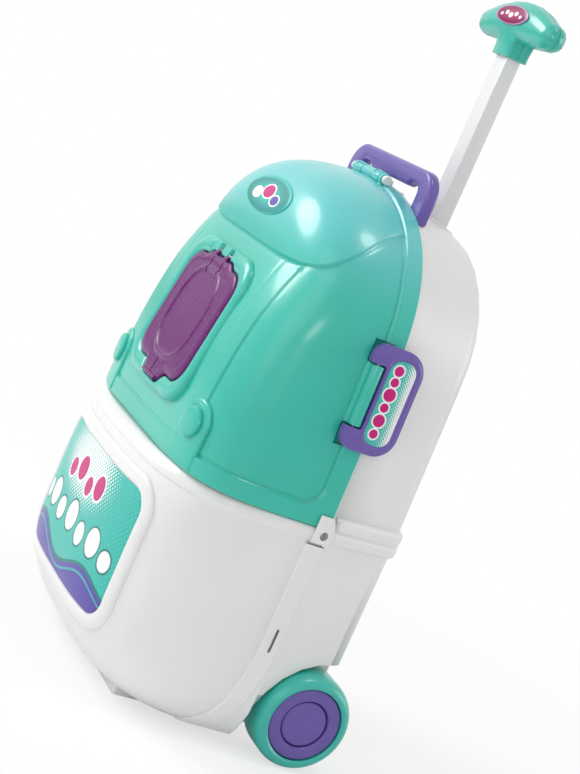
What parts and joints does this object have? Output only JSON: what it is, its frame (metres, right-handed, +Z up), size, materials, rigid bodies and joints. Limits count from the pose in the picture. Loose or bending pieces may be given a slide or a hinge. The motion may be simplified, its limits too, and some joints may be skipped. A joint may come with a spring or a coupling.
{
  "type": "toy doctor case",
  "caption": "Child's rolling doctor case: arched hinged lid with a small flap door and side clips over a rounded bowl, rear shells, wheels, carry handle and sliding T-grip rod.",
  "frame": {"origin": "on the floor under the middle of the case's box, measured from the front of the bowl's label to the back of the wheels", "axes": "+X to the right of someone facing the case's front, -Y out of its front, +Z up along the pull rod"},
  "size_m": [0.284, 0.2026, 0.5572],
  "materials": {
    "lid_mint": "glossy mint",
    "grip_mint": "glossy mint",
    "tyre_mint": "satin mint",
    "wheel_purple": "satin purple",
    "handle_purple": "glossy purple",
    "door_purple": "translucent purple with glitter",
    "label": "printed film",
    "grip_badge": "printed film",
    "grey_plastic": "light grey, satin",
    "rod_grey": "light grey, satin",
    "white_plastic": "white, satin to glossy",
    "steel": "zinc-plated"
  },
  "bodies": {
    "case": {"front_foot": "grey_plastic", "foot_screw_right": "steel", "foot_screw_left": "steel", "lower_front_bowl": "white_plastic", "front_label": "label", "rod_guide": "grey_plastic", "guide_screw_lower_right": "steel", "guide_screw_lower_left": "steel", "guide_screw_upper_right": "steel", "guide_screw_upper_left": "steel", "rod_collar": "white_plastic", "carry_handle": "handle_purple", "handle_screw_right": "steel", "handle_screw_left": "steel", "lid_hinge_pin": "white_plastic", "upper_rear_shell": "white_plastic", "rear_shell_screw_right": "steel", "rear_shell_screw_left": "steel", "side_shell_screw_right": "steel", "side_shell_screw_left": "steel", "lower_rear_shell": "white_plastic", "seam_lug_right": "white_plastic", "seam_lug_left": "white_plastic", "seam_lug_screw_right": "steel", "seam_lug_screw_left": "steel", "axle_bush_right": "grey_plastic", "axle_bush_left": "grey_plastic", "axle_nut_right": "steel", "axle_nut_left": "steel", "axle": "steel"},
    "lid": {"lid_shell": "lid_mint", "lid_badge": "label", "door_pocket": "lid_mint", "pocket_screw_lower_right": "steel", "pocket_screw_lower_left": "steel", "pocket_screw_upper_right": "steel", "pocket_screw_upper_left": "steel", "door_hinge_pin": "steel", "side_clip_pin_right": "steel", "side_clip_pin_left": "steel"},
    "door": {"door": "door_purple"},
    "right_clip": {"side_clip_right": "handle_purple", "side_clip_label_right": "label"},
    "left_clip": {"side_clip_left": "handle_purple", "side_clip_label_left": "label"},
    "pull_handle": {"pull_rod": "rod_grey", "rod_stop": "grey_plastic", "grip_front": "grip_mint", "grip_rear": "grip_mint", "grip_badge": "grip_badge", "grip_screw_right": "steel", "grip_screw_left": "steel", "grip_rod_screw": "steel"},
    "right_wheel": {"wheel_tyre_right": "tyre_mint", "wheel_hub_right": "wheel_purple", "wheel_cap_right": "wheel_purple"},
    "left_wheel": {"wheel_tyre_left": "tyre_mint", "wheel_hub_left": "wheel_purple", "wheel_cap_left": "wheel_purple"}
  },
  "joints": [
    {"name": "lid_hinge", "type": "hinge", "parent": "case", "child": "lid", "pos_m": [0, 0.00785, 0.4], "axis": [-1, 0, 0], "range_deg": [0, 95]},
    {"name": "door_hinge", "type": "hinge", "parent": "lid", "child": "door", "pos_m": [0, -0.06998, 0.30737], "axis": [-1, 0, 0], "range_deg": [0, 110]},
    {"name": "right_clip_hinge", "type": "hinge", "parent": "lid", "child": "right_clip", "pos_m": [0.13583, 0.00485, 0.26773], "axis": [0.0533, 0, -0.9986], "range_deg": [0, 100]},
    {"name": "left_clip_hinge", "type": "hinge", "parent": "lid", "child": "left_clip", "pos_m": [-0.13583, 0.00485, 0.26773], "axis": [0.0533, 0, 0.9986], "range_deg": [0, 100]},
    {"name": "pull_handle_slide", "type": "slide", "parent": "case", "child": "pull_handle", "axis": [0, 0, 1], "range_m": [-0.125, 0]},
    {"name": "right_wheel_spin", "type": "hinge", "parent": "case", "child": "right_wheel", "pos_m": [0.1258, 0.06565, 0.0356], "axis": [1, 0, 0], "continuous": true},
    {"name": "left_wheel_spin", "type": "hinge", "parent": "case", "child": "left_wheel", "pos_m": [-0.1258, 0.06565, 0.0356], "axis": [1, 0, 0], "continuous": true}
  ]
}
